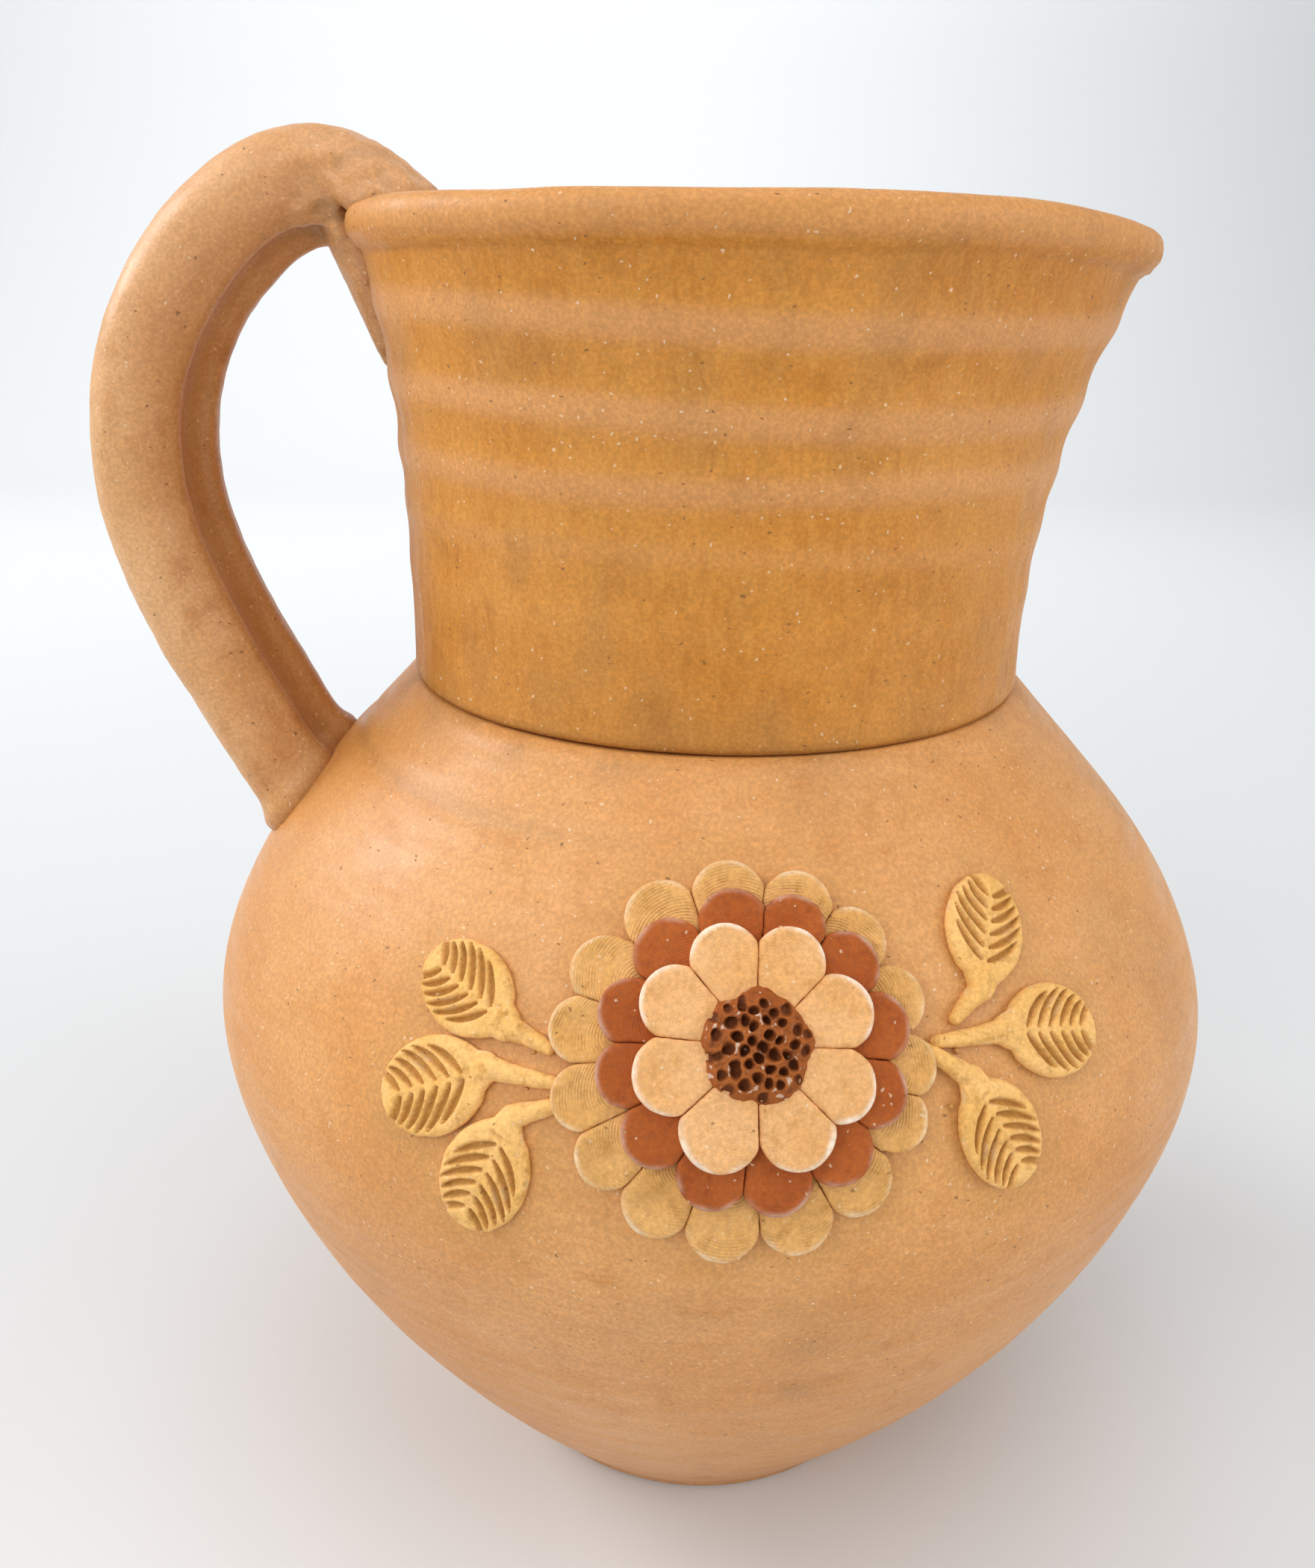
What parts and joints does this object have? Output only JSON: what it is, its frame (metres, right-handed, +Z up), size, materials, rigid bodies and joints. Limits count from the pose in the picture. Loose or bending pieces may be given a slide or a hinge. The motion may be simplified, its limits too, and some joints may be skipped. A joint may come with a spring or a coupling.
{
  "type": "pitcher",
  "caption": "Rustic terracotta pitcher with a round body, flared collar with a pulled spout, a loop handle and a raised clay flower with leaves.",
  "frame": {"origin": "middle of the flat foot, on the axis of the thrown body", "axes": "+Z up, +X towards the spout, -X towards the handle, the flower faces -Y"},
  "size_m": [0.2093, 0.1949, 0.2547],
  "materials": {
    "terracotta": "unglazed, burnished, mottled orange",
    "buff_clay": "unglazed buff yellow slip clay, matte",
    "red_clay": "unglazed iron red clay, satin"
  },
  "bodies": {
    "root": {"collar": "terracotta", "flower_centre": "red_clay", "handle": "terracotta", "inner_petal_01": "buff_clay", "inner_petal_02": "buff_clay", "inner_petal_03": "buff_clay", "inner_petal_04": "buff_clay", "inner_petal_05": "buff_clay", "inner_petal_06": "buff_clay", "inner_petal_07": "buff_clay", "inner_petal_08": "buff_clay", "leaf_left_lower": "buff_clay", "leaf_left_middle": "buff_clay", "leaf_left_upper": "buff_clay", "leaf_right_lower": "buff_clay", "leaf_right_middle": "buff_clay", "leaf_right_upper": "buff_clay", "middle_petal_01": "red_clay", "middle_petal_02": "red_clay", "middle_petal_03": "red_clay", "middle_petal_04": "red_clay", "middle_petal_05": "red_clay", "middle_petal_06": "red_clay", "middle_petal_07": "red_clay", "middle_petal_08": "red_clay", "middle_petal_09": "red_clay", "middle_petal_10": "red_clay", "middle_petal_11": "red_clay", "middle_petal_12": "red_clay", "outer_petal_01": "buff_clay", "outer_petal_02": "buff_clay", "outer_petal_03": "buff_clay", "outer_petal_04": "buff_clay", "outer_petal_05": "buff_clay", "outer_petal_06": "buff_clay", "outer_petal_07": "buff_clay", "outer_petal_08": "buff_clay", "outer_petal_09": "buff_clay", "outer_petal_10": "buff_clay", "outer_petal_11": "buff_clay", "outer_petal_12": "buff_clay", "outer_petal_13": "buff_clay", "outer_petal_14": "buff_clay", "outer_petal_15": "buff_clay", "vessel_body": "terracotta"}
  },
  "joints": []
}
